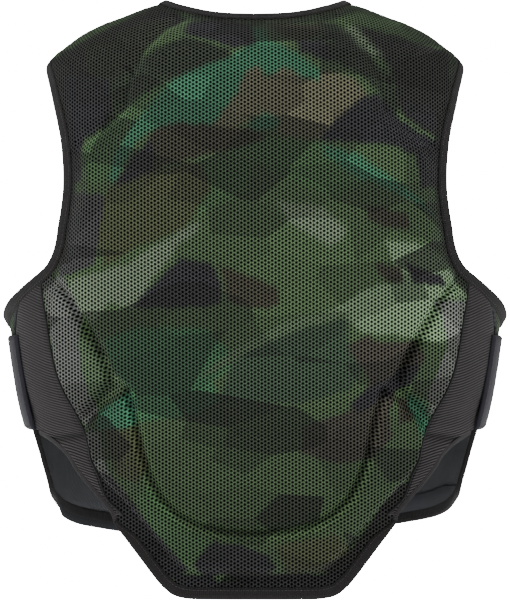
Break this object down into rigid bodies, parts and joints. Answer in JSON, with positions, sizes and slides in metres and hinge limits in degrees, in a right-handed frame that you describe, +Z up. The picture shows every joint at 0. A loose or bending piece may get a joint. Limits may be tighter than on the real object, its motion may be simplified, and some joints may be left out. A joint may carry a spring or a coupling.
{
  "type": "protective vest",
  "caption": "Sleeveless protective vest in its worn shape, with a padded mesh back and tail, ribbed side wings closed by tabs, a front zip and bound edges.",
  "frame": {"origin": "centre of the neck opening, level with the shoulder points that carry the vest", "axes": "+Z up, +X to the wearer's right, the back faces -Y"},
  "size_m": [0.464, 0.2684, 0.541],
  "materials": {
    "mesh_fabric": "matt perforated mesh over foam",
    "ribbed_elastic": "matt ribbed elastic",
    "tab_fabric": "smooth brushed fabric",
    "binding_tape": "matt knitted tape",
    "zip_tape": "woven tape with a plastic coil"
  },
  "bodies": {
    "root": {"back_panel": "mesh_fabric", "front_panel_right": "mesh_fabric", "front_panel_left": "mesh_fabric", "side_wing_right": "ribbed_elastic", "side_wing_left": "ribbed_elastic", "wing_tab_right": "tab_fabric", "wing_tab_left": "tab_fabric", "armhole_binding_right": "binding_tape", "armhole_binding_left": "binding_tape", "wing_trim_right": "binding_tape", "wing_trim_left": "binding_tape", "side_piping_right": "binding_tape", "side_piping_left": "binding_tape", "front_edge_binding_right": "binding_tape", "front_edge_binding_left": "binding_tape", "neck_binding": "binding_tape", "hem_binding": "binding_tape", "front_zip": "zip_tape"}
  },
  "joints": []
}
